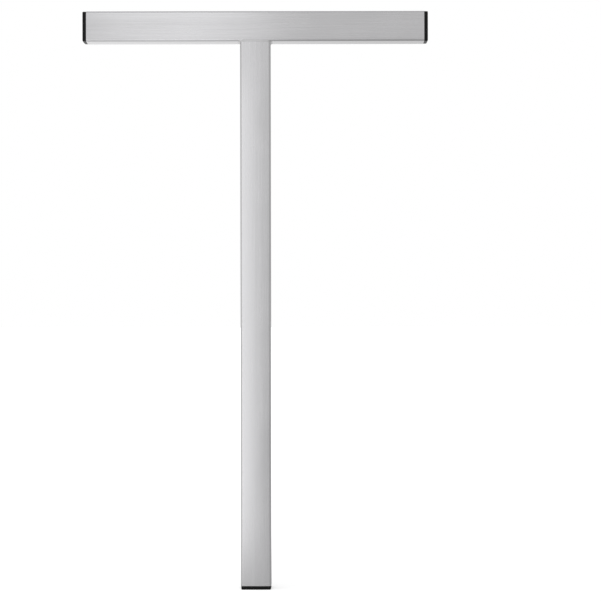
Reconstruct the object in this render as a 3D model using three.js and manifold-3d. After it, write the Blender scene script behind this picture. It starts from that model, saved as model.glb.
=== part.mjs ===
// A T-shaped frame of square stainless tube: a cross bar welded across the top of a long post, with a plastic
// plug in each open tube end. Millimetres, +Z up. The frame stands on the origin, which is the centre of the
// foot plug's underside, the bar lies along X, and the front is towards -Y.

import * as THREE from 'three';
import { mergeVertices } from 'three/addons/utils/BufferGeometryUtils.js';
import Module from 'manifold-3d';

const wasm = await Module();
wasm.setup();

// The tube, the same stock for bar and post
const TUBE_SIDE = 40;
const TUBE_WALL = 1.5;
const TUBE_CORNER = 2.5;
const BAR_LENGTH = 441;
const POST_LENGTH = 710;

// The welds: a groove filled flush in front and behind, and a concave fillet on each side of the post
const FILLET_LEG = 2.5;
const FILLET_RADIUS = 3.5;

// The plug: a head that covers the cut end, and a hollow spigot with rows of fins that goes inside the tube
const HEAD_THICKNESS = 4.75;
const HEAD_INSET = 0.25;
const HEAD_ROUNDING = 1.25;
const SPIGOT_SIDE = 34;
const SPIGOT_CORNER = 1.5;
const SPIGOT_WALL = 2;
const SPIGOT_LENGTH = 20;
const FIN_DEPTHS = [4, 9.5, 15];
const FIN_THICKNESS = 1;
const FIN_CLEARANCE = 0.2;

// Steps in each arc. The groove's arc follows the tube's corner, so it takes the same steps, and stops at the
// edge of the post's wall.
const CORNER_STEPS = 8;
const GROOVE_STEPS = 6;
const FILLET_STEPS = 8;
const RIM_STEPS = 4;

// Tolerance for vertices that meet
const MERGE = 1e-4;

// Turns that point a piece's own +Z along the bar, and its own Y up
const TO_RIGHT = new THREE.Euler(Math.PI / 2, Math.PI / 2, 0);
const TO_LEFT = new THREE.Euler(Math.PI / 2, -Math.PI / 2, 0);

// Materials

function brushedSteel() {
  return new THREE.MeshStandardMaterial({ color: 0xc9cacb, metalness: 1, roughness: 0.34 });
}

function dressedWeld() {
  return new THREE.MeshStandardMaterial({ color: 0xbfbfbe, metalness: 1, roughness: 0.42 });
}

function blackPlastic() {
  return new THREE.MeshStandardMaterial({ color: 0x1f1f1f, metalness: 0, roughness: 0.5 });
}

// Outlines

// Draws a square with rounded corners, centred on the origin, onto a Shape or a Path.
function drawRoundedSquare(path, side, radius) {
  const centre = side / 2 - radius;
  path.moveTo(side / 2, -centre);
  path.absarc(centre, centre, radius, 0, Math.PI / 2);
  path.absarc(-centre, centre, radius, Math.PI / 2, Math.PI);
  path.absarc(-centre, -centre, radius, Math.PI, 1.5 * Math.PI);
  path.absarc(centre, -centre, radius, 1.5 * Math.PI, 2 * Math.PI);
  return path;
}

// A square frame: an outer square less a square hole with its own corner radius.
function squareRing(side, radius, width, holeRadius) {
  const section = drawRoundedSquare(new THREE.Shape(), side, radius);
  section.holes.push(drawRoundedSquare(new THREE.Path(), side - 2 * width, holeRadius));
  return section;
}

// Extrudes a section along +Z. An arc gets two steps for each curve segment.
function prism(section, length, arcSteps) {
  return new THREE.ExtrudeGeometry(section, { depth: length, bevelEnabled: false, curveSegments: arcSteps / 2 });
}

// Joins and cuts

function solidOf(geometry) {
  const bare = geometry.clone();
  bare.deleteAttribute('normal');
  bare.deleteAttribute('uv');
  const merged = mergeVertices(bare, MERGE);
  const mesh = new wasm.Mesh({
    numProp: 3,
    vertProperties: merged.attributes.position.array,
    triVerts: new Uint32Array(merged.index.array),
  });
  return new wasm.Manifold(mesh);
}

function geometryOf(solid) {
  const mesh = solid.getMesh();
  const geometry = new THREE.BufferGeometry();
  geometry.setAttribute('position', new THREE.BufferAttribute(mesh.vertProperties, 3));
  geometry.setIndex(new THREE.BufferAttribute(mesh.triVerts, 1));
  geometry.computeVertexNormals();
  return geometry;
}

// Pieces

function namedMesh(name, geometry, material) {
  const mesh = new THREE.Mesh(geometry, material);
  mesh.name = name;
  return mesh;
}

function tube(name, length) {
  const wall = squareRing(TUBE_SIDE, TUBE_CORNER, TUBE_WALL, TUBE_CORNER - TUBE_WALL);
  return namedMesh(name, prism(wall, length, CORNER_STEPS), brushedSteel());
}

// The head of a plug stands on z = 0 and has a rounded outer rim. The extrusion rounds both of its ends, so it is
// made twice as thick, about z = 0, and its lower half is cut away.
function plugHead() {
  const side = TUBE_SIDE - 2 * HEAD_INSET;
  const corner = TUBE_CORNER - HEAD_INSET;
  const outline = drawRoundedSquare(new THREE.Shape(), side - 2 * HEAD_ROUNDING, corner - HEAD_ROUNDING);
  const doubled = new THREE.ExtrudeGeometry(outline, {
    depth: 2 * (HEAD_THICKNESS - HEAD_ROUNDING),
    bevelSize: HEAD_ROUNDING,
    bevelThickness: HEAD_ROUNDING,
    bevelSegments: RIM_STEPS,
    curveSegments: CORNER_STEPS / 2,
  });
  doubled.translate(0, 0, HEAD_ROUNDING - HEAD_THICKNESS);
  const lowerHalf = new THREE.BoxGeometry(2 * side, 2 * side, 2 * HEAD_THICKNESS);
  lowerHalf.translate(0, 0, -HEAD_THICKNESS);
  return solidOf(doubled).subtract(solidOf(lowerHalf));
}

// The spigot hangs below z = 0, hollow and open at its lower end, and is rooted half a wall deep in the head.
function plugSpigot() {
  const wall = squareRing(SPIGOT_SIDE, SPIGOT_CORNER, SPIGOT_WALL, SPIGOT_CORNER);
  const geometry = prism(wall, SPIGOT_LENGTH + SPIGOT_WALL / 2, CORNER_STEPS);
  geometry.translate(0, 0, -SPIGOT_LENGTH);
  return solidOf(geometry);
}

// A row of fins: a thin collar round the spigot, rooted half a wall deep, that stops just clear of the tube.
function plugFins(depth) {
  const side = TUBE_SIDE - 2 * TUBE_WALL - 2 * FIN_CLEARANCE;
  const width = (side - SPIGOT_SIDE + SPIGOT_WALL) / 2;
  const collar = squareRing(side, SPIGOT_CORNER, width, SPIGOT_CORNER);
  const geometry = prism(collar, FIN_THICKNESS, CORNER_STEPS);
  geometry.translate(0, 0, -depth - FIN_THICKNESS / 2);
  return solidOf(geometry);
}

function plug(name) {
  let solid = plugHead().add(plugSpigot());
  for (const depth of FIN_DEPTHS) {
    solid = solid.add(plugFins(depth));
  }
  return namedMesh(name, geometryOf(solid), blackPlastic());
}

// Fills the groove behind, between the bar's rounded lower corner and the end of the post, flush with both. The
// section is drawn about the bar's axis, with x towards the back and y up.
function grooveWeld(name) {
  const face = TUBE_SIDE / 2;
  const centre = face - TUBE_CORNER;
  const sweep = (Math.PI / 2) * (GROOVE_STEPS / CORNER_STEPS);
  const section = new THREE.Shape();
  section.moveTo(face, -face);
  section.lineTo(face, -centre);
  section.absarc(centre, -centre, TUBE_CORNER, 0, -sweep, true);
  section.lineTo(section.currentPoint.x, -face);
  const mesh = namedMesh(name, prism(section, 2 * centre, GROOVE_STEPS), dressedWeld());
  mesh.rotation.copy(TO_RIGHT);
  mesh.position.x = -centre;
  return mesh;
}

// The concave fillet in the right inner corner, where the bar's underside meets the post. The section is drawn
// from the corner, with x out along the bar and y up, and its toes are the ends of the arc.
function filletWeld(name) {
  const centre = (FILLET_LEG + Math.sqrt(2 * FILLET_RADIUS ** 2 - FILLET_LEG ** 2)) / 2;
  const toe = Math.atan((centre - FILLET_LEG) / centre);
  const section = new THREE.Shape();
  section.moveTo(0, 0);
  section.lineTo(FILLET_LEG, 0);
  section.absarc(centre, -centre, FILLET_RADIUS, Math.PI / 2 + toe, Math.PI - toe);
  const width = TUBE_SIDE - 2 * TUBE_CORNER;
  const mesh = namedMesh(name, prism(section, width, FILLET_STEPS), dressedWeld());
  mesh.rotation.x = Math.PI / 2;
  mesh.position.set(TUBE_SIDE / 2, width / 2, -TUBE_SIDE / 2);
  return mesh;
}

// A groove weld and a fillet weld. Turned half round the post's axis they are those in front and on the left.
function weldPair(grooveName, filletName, turn) {
  const pair = new THREE.Group();
  pair.add(grooveWeld(grooveName), filletWeld(filletName));
  pair.rotation.z = turn;
  return pair;
}

// Assemblies

function crossBar() {
  const bar = tube('cross_bar_tube', BAR_LENGTH);
  bar.rotation.copy(TO_RIGHT);
  bar.position.x = -BAR_LENGTH / 2;
  const leftPlug = plug('end_plug_left');
  leftPlug.rotation.copy(TO_LEFT);
  leftPlug.position.x = -BAR_LENGTH / 2;
  const rightPlug = plug('end_plug_right');
  rightPlug.rotation.copy(TO_RIGHT);
  rightPlug.position.x = BAR_LENGTH / 2;
  const group = new THREE.Group();
  group.add(bar, leftPlug, rightPlug);
  group.add(weldPair('weld_back', 'weld_right', 0), weldPair('weld_front', 'weld_left', Math.PI));
  group.position.z = HEAD_THICKNESS + POST_LENGTH + TUBE_SIDE / 2;
  return group;
}

function post() {
  const footPlug = plug('foot_plug');
  footPlug.rotation.x = Math.PI;
  const group = new THREE.Group();
  group.add(tube('post_tube', POST_LENGTH), footPlug);
  group.position.z = HEAD_THICKNESS;
  return group;
}

const frame = new THREE.Group();
frame.add(post(), crossBar());

export default frame;
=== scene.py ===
# The looks of the T-shaped frame: brushed stainless square tube, dressed welds and black moulded plugs, on a
# plain pale floor in soft studio light. Metres, +Z up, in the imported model's frame.
import math

import bmesh
import bpy
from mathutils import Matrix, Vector


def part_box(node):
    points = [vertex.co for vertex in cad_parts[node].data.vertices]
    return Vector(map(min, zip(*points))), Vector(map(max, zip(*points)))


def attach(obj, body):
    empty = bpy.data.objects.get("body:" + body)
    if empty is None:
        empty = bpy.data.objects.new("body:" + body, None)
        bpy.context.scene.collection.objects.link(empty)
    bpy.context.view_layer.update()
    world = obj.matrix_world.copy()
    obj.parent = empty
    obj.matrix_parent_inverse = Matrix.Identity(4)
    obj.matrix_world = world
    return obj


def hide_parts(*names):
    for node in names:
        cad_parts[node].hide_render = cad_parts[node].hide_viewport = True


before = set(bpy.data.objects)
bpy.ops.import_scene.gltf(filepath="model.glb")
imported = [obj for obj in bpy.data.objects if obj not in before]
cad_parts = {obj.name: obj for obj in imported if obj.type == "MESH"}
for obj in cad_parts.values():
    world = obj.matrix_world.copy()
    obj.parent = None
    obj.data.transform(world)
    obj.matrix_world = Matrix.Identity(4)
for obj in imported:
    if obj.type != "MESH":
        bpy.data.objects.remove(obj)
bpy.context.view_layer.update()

MM = 0.001

# Tube: rolled faces stand a little proud in the middle, and the cut ends are deburred
WALL = 1.5 * MM
CORNER = 2.5 * MM
BORE_CORNER = 1.0 * MM
CROWN = 0.35 * MM
DEBURR = 0.22 * MM
STATION = 11 * MM

# Weld: flush in front and behind, a rippled concave fillet beside the post. The pulls shape its curve.
FILLET_LEG = 2.5 * MM
FLUSH_DEPTH = 0.4 * MM
WELD_PROUD = 0.03 * MM
RIPPLE_PITCH = 1.25 * MM
RIPPLE_HEIGHT = 0.04 * MM
BEAD_SINK = 0.3 * MM
GROOVE_REACH = 1.45 * MM
FACE_PULL = 0.33
FILLET_PULL = 0.75
PROFILE_STEPS = 10

# Plug head: a dished outer face with a gate mark, a rounded rim and a softened lower edge
HEAD_INSET = 0.28 * MM
HEAD_CORNER = 2.2 * MM
HEAD_THICKNESS = 4.75 * MM
RIM = 1.2 * MM
RIM_STEPS = 6
FACE_DISH = 0.1 * MM
FACE_ROUNDING = 6 * MM
GATE_RADIUS = 1.6 * MM
GATE_DEPTH = 0.15 * MM
HEAD_EDGE = ((0, 0.6 * MM), (0, 0.25 * MM), (0.08 * MM, 0.08 * MM), (0.25 * MM, 0), (0.5 * MM, 0))

# Plug spigot
SPIGOT_HALF = 17 * MM
SPIGOT_CORNER = 1.5 * MM
SPIGOT_WALL = 2 * MM
SPIGOT_LENGTH = 20 * MM
FIN_DEPTHS = (4 * MM, 9.5 * MM, 15 * MM)

# Half a fin's outline: how far it reaches from the plug's axis, and how high it is there, from root to edge
FIN_REACH = 18.35 * MM
FIN_SIDE = (
    (SPIGOT_HALF, 0.6 * MM),
    (SPIGOT_HALF + 0.15 * MM, 0.5 * MM),
    (FIN_REACH - 0.1 * MM, 0.25 * MM),
    (FIN_REACH, 0.15 * MM),
)

# Finishes. A swing is how far the streaks go lighter and darker than the steel's colour.
STEEL_COLOR = (0.62, 0.615, 0.625)
STEEL_ROUGHNESS = 0.25
BAR_SWING = 0.1
POST_SWING = 0.06
ANISOTROPY = 0.3
# Painted shade: how dark the tube's round corners are coloured, for the dark reflections along its edges
CORNER_PAINTED_SHADE = 0.8
WELD_COLOR = (0.55, 0.545, 0.55)
WELD_ROUGHNESS = 0.3
PLASTIC_DARK = (0.003, 0.003, 0.003)
PLASTIC_LIGHT = (0.008, 0.008, 0.0078)
PLASTIC_ROUGHNESS = 0.46
PLASTIC_SPECULAR = 0.16

# Stage: a pale floor that glows a little at the back and at the front left, and looks white to the camera
FLOOR_HALF = 30
FLOOR_COLOR = (0.8, 0.8, 0.8)
CAMERA_GLOW = 0.5
BACK_GLOW = 0.25
BACK_LEFT_GLOW = 0.25
FRONT_LEFT_GLOW = 0.4

# Room light: its radiance all round, and what each side adds to it
ROOM = 0.32
ROOM_SIDES = (
    ((1, 0, 0), 0.3),
    ((-1, 0, 0), 0.45),
    ((0, 1, 0), 0.1),
    ((0, -1, 0), 0.4),
    ((0, 0, 1), 0.1),
)

# Soft boxes upright in front of the frame: name, left and right edge, bottom and top, and radiance
BOX_DISTANCE = 0.5
BOX_COLOR = (0.985, 1.0, 1.01)
SOFT_BOXES = (
    ("key_box", -0.2, -0.02, 0, 0.71, 0.55),
    ("middle_box", -0.25, 0, 0.71, 0.84, 0.25),
    ("upper_box", -0.28, 0, 0.84, 1.3, 0.5),
    ("left_box", -0.42, -0.28, 0, 0.71, 0.55),
)
TOP_PLACE = (0, -0.1, 1.4)
TOP_AIM = (0, 0, 0.7)
TOP_SIZE = (1.0, 0.5)
TOP_RADIANCE = 0.45

# Camera: level, at mid height, a little right of the post
CAMERA_DISTANCE = 3.1
CAMERA_RIGHT = 0.0585
CAMERA_HEIGHT = 0.377
CAMERA_ROLL = math.radians(0.1)
SENSOR = 36.0
LENS = 142.5


# Outlines

def across_face(count):
    """Places across a face from -1 to 1, evenly spaced, with one more held close to each end."""
    inner = [-0.9 + 1.8 * i / count for i in range(count + 1)]
    return [-1.0, -0.975] + inner + [0.975, 1.0]


def crowned_square(half, corner, crown, across=8, round_steps=10):
    """Points and outward normals round a square with crowned faces and round corners, counterclockwise."""
    lean = math.atan(2 * crown / (half - crown - corner))
    centre = half - crown - corner * math.cos(lean)
    flat = centre + corner * math.sin(lean)
    quarter = []
    for t in across_face(across):
        slope = 2 * crown * t / flat
        length = math.hypot(1, slope)
        quarter.append(((half - crown * t * t, flat * t), (1 / length, slope / length)))
    for i in range(1, round_steps):
        a = lean + (math.pi / 2 - 2 * lean) * i / round_steps
        normal = (math.cos(a), math.sin(a))
        quarter.append(((centre + corner * normal[0], centre + corner * normal[1]), normal))
    ring = []
    for _ in range(4):
        ring += quarter
        quarter = [((-y, x), (-ny, nx)) for (x, y), (nx, ny) in quarter]
    return ring


# Meshes

def mesh_piece(name, points, faces, material, sharp=35):
    """A smooth-shaded object whose edges sharper than the given angle stay crisp."""
    mesh = bpy.data.meshes.new(name)
    mesh.from_pydata(points, [], faces)
    shape = bmesh.new()
    shape.from_mesh(mesh)
    bmesh.ops.recalc_face_normals(shape, faces=shape.faces)
    shape.to_mesh(mesh)
    shape.free()
    mesh.polygons.foreach_set("use_smooth", [True] * len(mesh.polygons))
    mesh.set_sharp_from_angle(angle=math.radians(sharp))
    mesh.materials.append(material)
    mesh.update()
    piece = bpy.data.objects.new(name, mesh)
    bpy.context.scene.collection.objects.link(piece)
    return piece


def bridge(first, second, count):
    """Quads between two rings of points that start at those indices."""
    faces = []
    for i in range(count):
        after = (i + 1) % count
        faces.append((first + i, first + after, second + after, second + i))
    return faces


def loft(rings, ends):
    """Points and faces through rings of equal count, with flat ends, or joined in a loop.

    ends is "cap" or "join".
    """
    count = len(rings[0])
    points = [point for ring in rings for point in ring]
    faces = []
    for i in range(len(rings) - 1):
        faces += bridge(i * count, (i + 1) * count, count)
    last = (len(rings) - 1) * count
    if ends == "join":
        faces += bridge(last, 0, count)
    else:
        faces.append(tuple(reversed(range(count))))
        faces.append(tuple(range(last, last + count)))
    return points, faces


def moved(ring, origin):
    return [tuple(origin[i] + point[i] for i in range(3)) for point in ring]


def finish_piece(piece, slot, *nodes):
    """The piece rides on the frame's one body and stands for those CAD nodes. slot is not used."""
    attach(piece, "root")
    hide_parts(*nodes)


# A piece is drawn with its own third axis along the tube, and these turn it into the row's axes.

def upward(u, v, w):
    return (u, v, w)


def downward(u, v, w):
    return (u, -v, -w)


def rightward(u, v, w):
    return (w, u, v)


def leftward(u, v, w):
    return (-w, -u, v)


# Tubes

def tube_stations(reach):
    """Places along a tube from -reach to reach, and how far its surface stands out there: less at a rim."""
    rim = [(0, -DEBURR), (0.3 * DEBURR, -0.3 * DEBURR), (DEBURR, 0), (3 * DEBURR, 0)]
    spans = round(2 * reach / STATION)
    stations = [(w - reach, lift) for w, lift in rim]
    stations += [(reach * (2 * i / spans - 1), 0) for i in range(1, spans)]
    stations += [(reach - w, lift) for w, lift in reversed(rim)]
    return stations


def tube_piece(name, tube_node, length_axis, turn, material):
    """A square tube in its node's box, open at both ends, with deburred rims."""
    low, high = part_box(tube_node)
    middle = (low + high) / 2
    reach = (high - low)[length_axis] / 2
    half = (high - low)[1] / 2
    skin = crowned_square(half, CORNER, CROWN)
    bore = crowned_square(half - WALL, BORE_CORNER, CROWN)
    rings = []
    for w, lift in tube_stations(reach):
        rings.append([turn(u + lift * nu, v + lift * nv, w) for (u, v), (nu, nv) in skin])
    for w in (reach, -reach):
        rings.append([turn(u, v, w) for (u, v), _ in bore])
    points, faces = loft([moved(ring, middle) for ring in rings], "join")
    piece = mesh_piece(name, points, faces, material)
    finish_piece(piece, "brushed_steel", tube_node)


# Plugs. A profile is a list of square rings: half side, corner radius and height over the tube's cut end.

def face_profile(half):
    """The outer face from its middle out: the gate mark, then a shallow dish."""
    bottom = HEAD_THICKNESS - FACE_DISH
    rings = [
        (0.25 * GATE_RADIUS, 0.25 * GATE_RADIUS, bottom - GATE_DEPTH),
        (0.85 * GATE_RADIUS, 0.85 * GATE_RADIUS, bottom - GATE_DEPTH),
        (GATE_RADIUS, GATE_RADIUS, bottom - 0.1 * GATE_DEPTH),
        (1.2 * GATE_RADIUS, 1.2 * GATE_RADIUS, bottom),
    ]
    flat = half - RIM
    for share in (0.3, 0.5, 0.7, 0.85, 0.93):
        corner_radius = max(HEAD_CORNER - RIM, (1 - share) * FACE_ROUNDING)
        rings.append((share * flat, corner_radius, HEAD_THICKNESS - FACE_DISH * (1 - share ** 3)))
    rings.append((flat, HEAD_CORNER - RIM, HEAD_THICKNESS))
    return rings


def rim_profile(half):
    """The rounded rim, the head's side and its lower edge, in to the land under the head."""
    rings = []
    for i in range(1, RIM_STEPS + 1):
        a = math.pi / 2 * i / RIM_STEPS
        inset = RIM * (1 - math.sin(a))
        rings.append((half - inset, HEAD_CORNER - inset, HEAD_THICKNESS - RIM * (1 - math.cos(a))))
    for inset, w in HEAD_EDGE:
        rings.append((half - inset, HEAD_CORNER - inset, w))
    return rings


def spigot_profile():
    """Down the spigot past its fins, round its lower edge, and up inside it to the underside of the head."""
    rings = [(SPIGOT_HALF + 0.2 * MM, SPIGOT_CORNER, 0), (SPIGOT_HALF, SPIGOT_CORNER, -0.2 * MM)]
    for depth in FIN_DEPTHS:
        rings += [(reach, SPIGOT_CORNER, rise - depth) for reach, rise in FIN_SIDE]
        rings += [(reach, SPIGOT_CORNER, -rise - depth) for reach, rise in reversed(FIN_SIDE)]
    bore = SPIGOT_HALF - SPIGOT_WALL
    rings += [
        (SPIGOT_HALF, SPIGOT_CORNER, 1.5 * MM - SPIGOT_LENGTH),
        (SPIGOT_HALF - 0.5 * MM, 1.2 * MM, 0.1 * MM - SPIGOT_LENGTH),
        (SPIGOT_HALF - 0.7 * MM, 1.1 * MM, -SPIGOT_LENGTH),
        (bore + 0.2 * MM, 0.9 * MM, -SPIGOT_LENGTH),
        (bore, 0.8 * MM, 0.2 * MM - SPIGOT_LENGTH),
        (bore, 0.8 * MM, -0.6 * MM),
        (bore - 0.6 * MM, 0.8 * MM, 0),
    ]
    rings += [(share * SPIGOT_HALF, 0.5 * share * SPIGOT_HALF, 0) for share in (0.6, 0.3, 0.05)]
    return rings


def plug_piece(name, plug_node, origin, turn, material):
    """A plug: a head on the tube's cut end, crowned like the tube, with its spigot and fins inside."""
    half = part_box("post_tube")[1][1] - HEAD_INSET
    rings = []
    for half_side, corner_radius, w in face_profile(half) + rim_profile(half) + spigot_profile():
        crown = CROWN * (half_side / half) ** 2
        rounding = min(corner_radius, 0.98 * (half_side - crown))
        outline = crowned_square(half_side, rounding, crown, across=6, round_steps=8)
        rings.append(moved([turn(u, v, w) for (u, v), _ in outline], origin))
    points, faces = loft(rings, "cap")
    piece = mesh_piece(name, points, faces, material, sharp=50)
    finish_piece(piece, "black_plastic", plug_node)


# Weld

def bar_underside(y, half, floor):
    """The lowest point of the bar's surface at depth y: its y, and its height."""
    centre = half - CROWN - CORNER
    if abs(y) <= centre:
        return y, floor + CROWN * (y / centre) ** 2
    reach = min(abs(y) - centre, CORNER * 0.9995)
    return math.copysign(centre + reach, y), floor + CROWN + CORNER - math.sqrt(CORNER ** 2 - reach ** 2)


def curve_point(t, controls):
    """The place at share t along a cubic curve."""
    weights = ((1 - t) ** 3, 3 * t * (1 - t) ** 2, 3 * t * t * (1 - t), t ** 3)
    return [sum(weight * point[i] for weight, point in zip(weights, controls)) for i in range(3)]


def bead_face(foot, normal, bar_y, bar_z, floor):
    """The seen part of one section: a concave fillet beside the post, a flush strip in front and behind."""
    x, y = foot
    nx, ny = normal
    side = abs(nx) ** 1.5
    leg = math.copysign(FILLET_LEG * side, nx)
    end_z = floor - FLUSH_DEPTH - (FILLET_LEG - FLUSH_DEPTH) * side
    drop = bar_z - end_z
    controls = (
        (x + leg, bar_y, bar_z),
        (x + 0.25 * leg, bar_y, bar_z - FACE_PULL * (1 - side) * drop),
        (x, y, end_z + (FACE_PULL + (FILLET_PULL - FACE_PULL) * side) * drop),
        (x, y, end_z),
    )
    ripple = RIPPLE_HEIGHT * side * math.cos(2 * math.pi * y / RIPPLE_PITCH)
    face = []
    for step in range(PROFILE_STEPS + 1):
        t = step / PROFILE_STEPS
        point = curve_point(t, controls)
        lift = (WELD_PROUD + ripple) * math.sin(math.pi * t)
        tilt = math.sin(math.pi / 2 * t) * side + (1 - side)
        face.append((point[0] + lift * nx * tilt, point[1] + lift * ny, point[2] - lift * side * (1 - t)))
    return face


def bead_back(foot, normal, end_z, half, floor):
    """The hidden part of one section: up the post's face, over its wall and up the bar's corner."""
    x, y = foot
    nx, ny = normal
    side = abs(nx) ** 1.5
    reach = GROOVE_REACH * (1 - side) + BEAD_SINK
    bar_y, bar_z = bar_underside(y - reach * ny, half, floor)
    return [
        (x - 0.05 * MM * nx, y - 0.05 * MM * ny, (floor + end_z) / 2),
        (x - BEAD_SINK * nx, bar_y, floor),
        (x - BEAD_SINK * nx, bar_y, bar_z + 0.02 * MM),
    ]


def weld_piece(material):
    """One closed bead round the top of the post. Each section runs from the bar's surface to the post's."""
    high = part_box("post_tube")[1]
    half = high[1]
    floor = high[2]
    sections = []
    for foot, normal in crowned_square(half, CORNER, CROWN, across=130, round_steps=24):
        bar_y, bar_z = bar_underside(foot[1], half, floor)
        face = bead_face(foot, normal, bar_y, bar_z, floor)
        sections.append(face + bead_back(foot, normal, face[-1][2], half, floor))
    points, faces = loft(sections, "join")
    piece = mesh_piece("weld_bead", points, faces, material, sharp=60)
    finish_piece(piece, "dressed_weld", "weld_front", "weld_back", "weld_left", "weld_right")


# Shader nodes

def new_material(name):
    """A new material, its node tree and its shader."""
    made = bpy.data.materials.new(name)
    made.use_nodes = True
    return made, made.node_tree, made.node_tree.nodes["Principled BSDF"]


def feed(tree, socket, value):
    """Links a node's output to a socket, or sets the socket's own value."""
    if isinstance(value, bpy.types.NodeSocket):
        tree.links.new(value, socket)
    else:
        socket.default_value = value


def node(tree, kind, *values, **settings):
    """The first output of a new shader node with those settings and those first inputs."""
    made = tree.nodes.new("ShaderNode" + kind)
    for key, value in settings.items():
        setattr(made, key, value)
    for socket, value in zip(made.inputs, values):
        feed(tree, socket, value)
    return made.outputs[0]


def object_place(tree):
    return tree.nodes.new("ShaderNodeTexCoord").outputs["Object"]


def noise(tree, place, scale, offset=(0, 0, 0), detail=2.0):
    made = tree.nodes.new("ShaderNodeTexNoise")
    feed(tree, made.inputs["Vector"], node(tree, "Mapping", place, offset, (0, 0, 0), scale))
    made.inputs["Scale"].default_value = 1
    made.inputs["Detail"].default_value = detail
    return made.outputs["Fac"]


def streaks(tree, place, axis, width, length, seed, detail=2.0):
    """Noise drawn out along the brush: features about that wide and that long."""
    scale = [1 / width] * 3
    scale[axis] = 1 / length
    return noise(tree, place, scale, (seed, 1.7 * seed, 2.3 * seed), detail)


def plus(tree, base, *terms):
    """base plus each pattern's departure from its middle, times its weight."""
    total = base
    for pattern, weight in terms:
        departure = node(tree, "Math", pattern, 0.5, operation="SUBTRACT")
        total = node(tree, "Math", departure, weight, total, operation="MULTIPLY_ADD")
    return total


def blend(tree, factor, first, second):
    """A colour between two, by a pattern."""
    made = tree.nodes.new("ShaderNodeMix")
    made.data_type = "RGBA"
    feed(tree, made.inputs[0], factor)
    for socket, color in ((made.inputs[6], first), (made.inputs[7], second)):
        feed(tree, socket, color if isinstance(color, bpy.types.NodeSocket) else [*color, 1])
    return made.outputs[2]


def dimmed(color, share):
    return [share * c for c in color]


def bump(tree, shader, height, strength, distance):
    """Makes the light see a pattern as relief."""
    made = tree.nodes.new("ShaderNodeBump")
    made.inputs["Strength"].default_value = strength
    made.inputs["Distance"].default_value = distance
    feed(tree, made.inputs["Height"], height)
    feed(tree, shader.inputs["Normal"], made.outputs[0])


def corner_shade_mask(tree, axis):
    """1 in the middle of a round corner and 0 on the flat faces, from the way the surface faces: where the
    painted corner shade goes.
    """
    facing = tree.nodes.new("ShaderNodeSeparateXYZ")
    feed(tree, facing.inputs[0], tree.nodes.new("ShaderNodeTexCoord").outputs["Normal"])
    first, second = [facing.outputs[i] for i in range(3) if i != axis]
    both = node(tree, "Math", first, second, operation="MULTIPLY")
    return node(tree, "Math", node(tree, "Math", both, operation="ABSOLUTE"), 2, operation="MULTIPLY")


def smooth_step(tree, value, start, end):
    """0 up to start and 1 from end on, smooth between. start may be above end."""
    rising = start < end
    made = tree.nodes.new("ShaderNodeMapRange")
    made.interpolation_type = "SMOOTHSTEP"
    feed(tree, made.inputs["Value"], value)
    made.inputs["From Min"].default_value = min(start, end)
    made.inputs["From Max"].default_value = max(start, end)
    made.inputs["To Min"].default_value = 0 if rising else 1
    made.inputs["To Max"].default_value = 1 if rising else 0
    return made.outputs[0]


def seen_by_camera(tree):
    return tree.nodes.new("ShaderNodeLightPath").outputs["Is Camera Ray"]


# Materials

def brushed_steel(name, axis, seed, swing):
    """Satin stainless, brushed along one axis: soft bands, fine streaks, hairlines and a slightly uneven cut.

    The round corners are darker in colour: painted shade, standing in for the dark reflections along the
    tube's edges.
    """
    made, tree, shader = new_material(name)
    place = object_place(tree)
    bands = streaks(tree, place, axis, 5 * MM, 0.6, seed)
    fine = streaks(tree, place, axis, 0.5 * MM, 0.09, seed + 3)
    hairs = streaks(tree, place, axis, 0.16 * MM, 0.03, seed + 7, detail=1.0)
    cloud = noise(tree, place, (16, 16, 16), (seed, 0, 4), detail=3.0)
    tone = plus(tree, 0.5, (bands, 0.6), (fine, 1.1), (hairs, 0.7), (cloud, 0.5))
    face = blend(tree, tone, dimmed(STEEL_COLOR, 1 - swing), dimmed(STEEL_COLOR, 1 + swing))
    # Painted shade: the round corners are darkened in the colour, standing in for the dark edge reflections
    color = blend(tree, corner_shade_mask(tree, axis), face, dimmed(STEEL_COLOR, CORNER_PAINTED_SHADE))
    feed(tree, shader.inputs["Base Color"], color)
    roughness = plus(tree, STEEL_ROUGHNESS, (fine, 0.1), (hairs, 0.06), (cloud, 0.08))
    feed(tree, shader.inputs["Roughness"], roughness)
    shader.inputs["Metallic"].default_value = 1
    shader.inputs["Anisotropic"].default_value = ANISOTROPY
    feed(tree, shader.inputs["Tangent"], node(tree, "Tangent", direction_type="RADIAL", axis="XYZ"[axis]))
    bump(tree, shader, plus(tree, 0.5, (hairs, 1.0), (fine, 0.7)), 0.35, 0.006 * MM)
    return made


def dressed_weld():
    """Weld metal ground with a fine disc: short scratches along the bar and a slightly uneven tone."""
    made, tree, shader = new_material("weld_steel")
    place = object_place(tree)
    scratch = streaks(tree, place, 0, 0.2 * MM, 0.006, 11)
    cloud = noise(tree, place, (220, 220, 220), (5, 0, 1), detail=3.0)
    tone = plus(tree, 0.5, (scratch, 0.8), (cloud, 1.0))
    feed(tree, shader.inputs["Base Color"], blend(tree, tone, dimmed(WELD_COLOR, 0.9), WELD_COLOR))
    feed(tree, shader.inputs["Roughness"], plus(tree, WELD_ROUGHNESS, (scratch, 0.12), (cloud, 0.1)))
    shader.inputs["Metallic"].default_value = 1
    bump(tree, shader, scratch, 0.4, 0.01 * MM)
    return made


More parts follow.
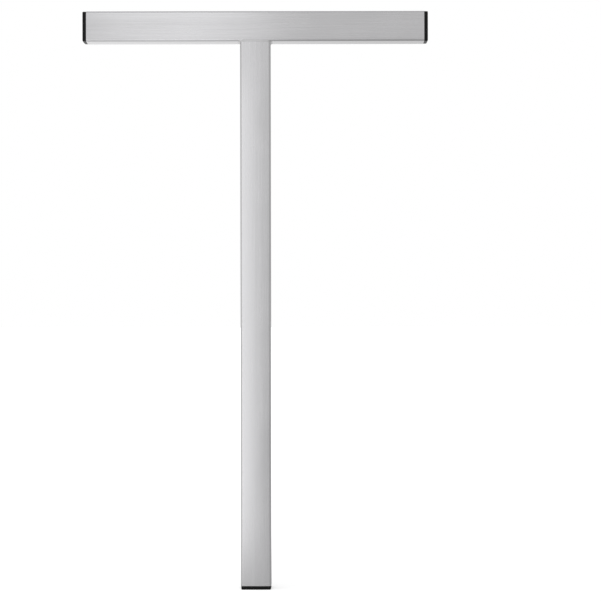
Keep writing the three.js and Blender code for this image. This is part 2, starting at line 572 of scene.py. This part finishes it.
def black_plastic():
    """Moulded polyethylene: a fine spark-eroded texture, faint flow marks and a few pale scuffs."""
    made, tree, shader = new_material("plug_plastic")
    place = object_place(tree)
    grain = noise(tree, place, (2600, 2600, 2600))
    flow = noise(tree, place, (90, 90, 90), (3, 1, 2), detail=3.0)
    scuff = noise(tree, place, (900, 140, 260), (8, 2, 5), detail=4.0)
    tone = plus(tree, 0.4, (grain, 0.7), (flow, 1.2), (scuff, 0.9))
    feed(tree, shader.inputs["Base Color"], blend(tree, tone, PLASTIC_DARK, PLASTIC_LIGHT))
    shader.inputs["Specular IOR Level"].default_value = PLASTIC_SPECULAR
    roughness = plus(tree, PLASTIC_ROUGHNESS, (grain, 0.14), (flow, 0.16), (scuff, 0.12))
    feed(tree, shader.inputs["Roughness"], roughness)
    bump(tree, shader, plus(tree, 0.5, (grain, 1.0), (flow, 0.5)), 0.5, 0.03 * MM)
    return made


def floor_glow(tree):
    """The floor's glow, which stands for light from below. The camera sees more of it."""
    axes = tree.nodes.new("ShaderNodeSeparateXYZ")
    feed(tree, axes.inputs[0], object_place(tree))
    across, depth = axes.outputs[0], axes.outputs[1]
    back = smooth_step(tree, depth, 0.1, 0.8)
    front = smooth_step(tree, depth, 0.05, -0.05)
    back_left = node(tree, "Math", back, smooth_step(tree, across, 0.5, -0.5), operation="MULTIPLY")
    front_left = node(tree, "Math", front, smooth_step(tree, across, 0.05, -0.15), operation="MULTIPLY")
    glow = 0
    for share, most in (
        (back, BACK_GLOW),
        (back_left, BACK_LEFT_GLOW),
        (front_left, FRONT_LEFT_GLOW),
        (seen_by_camera(tree), CAMERA_GLOW),
    ):
        glow = node(tree, "Math", share, most, glow, operation="MULTIPLY_ADD")
    return glow


def floor_paint_and_glow():
    """Pale matt paint that also glows: painted pools of light at the back and the front left, and a glow seen
    only by the camera.
    """
    made, tree, shader = new_material("floor_paint_and_glow")
    shader.inputs["Base Color"].default_value = (*FLOOR_COLOR, 1)
    shader.inputs["Roughness"].default_value = 0.9
    shader.inputs["Specular IOR Level"].default_value = 0
    shader.inputs["Emission Color"].default_value = (1, 1, 1, 1)
    feed(tree, shader.inputs["Emission Strength"], floor_glow(tree))
    return made


# Stage

def floor_sheet():
    far = FLOOR_HALF
    points = [(-far, -far, 0), (far, -far, 0), (far, far, 0), (-far, far, 0)]
    mesh_piece("floor", points, [(0, 1, 2, 3)], floor_paint_and_glow())


def room():
    """A soft room for light and reflections, seen as plain white by the camera itself."""
    world = bpy.data.worlds.new("room")
    world.use_nodes = True
    tree = world.node_tree
    facing = tree.nodes.new("ShaderNodeTexCoord").outputs["Generated"]
    light = ROOM
    for direction, extra in ROOM_SIDES:
        toward = tree.nodes.new("ShaderNodeVectorMath")
        toward.operation = "DOT_PRODUCT"
        feed(tree, toward.inputs[0], facing)
        toward.inputs[1].default_value = direction
        share = node(tree, "Math", toward.outputs["Value"], 0, operation="MAXIMUM")
        light = node(tree, "Math", share, extra, light, operation="MULTIPLY_ADD")
    seen = seen_by_camera(tree)
    unseen = node(tree, "Math", 1, seen, operation="SUBTRACT")
    strength = node(tree, "Math", unseen, light, seen, operation="MULTIPLY_ADD")
    feed(tree, tree.nodes["Background"].inputs["Strength"], strength)
    tree.nodes["Background"].inputs["Color"].default_value = (1, 1, 1, 1)
    bpy.context.scene.world = world


def soft_box(name, place, aim, size, radiance):
    """A rectangular soft box that faces a point and isn't in the picture itself."""
    lamp = bpy.data.lights.new(name, "AREA")
    lamp.shape = "RECTANGLE"
    lamp.size, lamp.size_y = size
    lamp.energy = radiance * math.pi * size[0] * size[1]
    lamp.color = BOX_COLOR
    box = bpy.data.objects.new(name, lamp)
    bpy.context.scene.collection.objects.link(box)
    box.location = place
    box.rotation_euler = (Vector(aim) - Vector(place)).to_track_quat("-Z", "Y").to_euler()
    box.visible_camera = False


def studio_lights():
    for name, left, right, bottom, top, radiance in SOFT_BOXES:
        x, z = (left + right) / 2, (bottom + top) / 2
        soft_box(name, (x, -BOX_DISTANCE, z), (x, 0, z), (right - left, top - bottom), radiance)
    soft_box("top_box", TOP_PLACE, TOP_AIM, TOP_SIZE, TOP_RADIANCE)


def main_camera(front):
    data = bpy.data.cameras.new("camera")
    data.lens = LENS
    data.sensor_width = SENSOR
    data.clip_end = 100
    camera = bpy.data.objects.new("camera", data)
    bpy.context.scene.collection.objects.link(camera)
    camera.location = (CAMERA_RIGHT, front - CAMERA_DISTANCE, CAMERA_HEIGHT)
    camera.rotation_euler = (math.pi / 2, CAMERA_ROLL, 0)
    bpy.context.scene.camera = camera


# Build

bar_low, bar_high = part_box("cross_bar_tube")
post_low, post_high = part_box("post_tube")
bar_axis = (bar_low[2] + bar_high[2]) / 2
plug_plastic = black_plastic()
tube_piece("cross_bar", "cross_bar_tube", 0, rightward, brushed_steel("bar_steel", 0, 1.0, BAR_SWING))
tube_piece("post", "post_tube", 2, upward, brushed_steel("post_steel", 2, 5.0, POST_SWING))
weld_piece(dressed_weld())
plug_piece("plug_left", "end_plug_left", (bar_low[0], 0, bar_axis), leftward, plug_plastic)
plug_piece("plug_right", "end_plug_right", (bar_high[0], 0, bar_axis), rightward, plug_plastic)
plug_piece("plug_foot", "foot_plug", (0, 0, post_low[2]), downward, plug_plastic)

bpy.context.scene.view_settings.view_transform = "Standard"
floor_sheet()
room()
studio_lights()
main_camera(post_low[1])
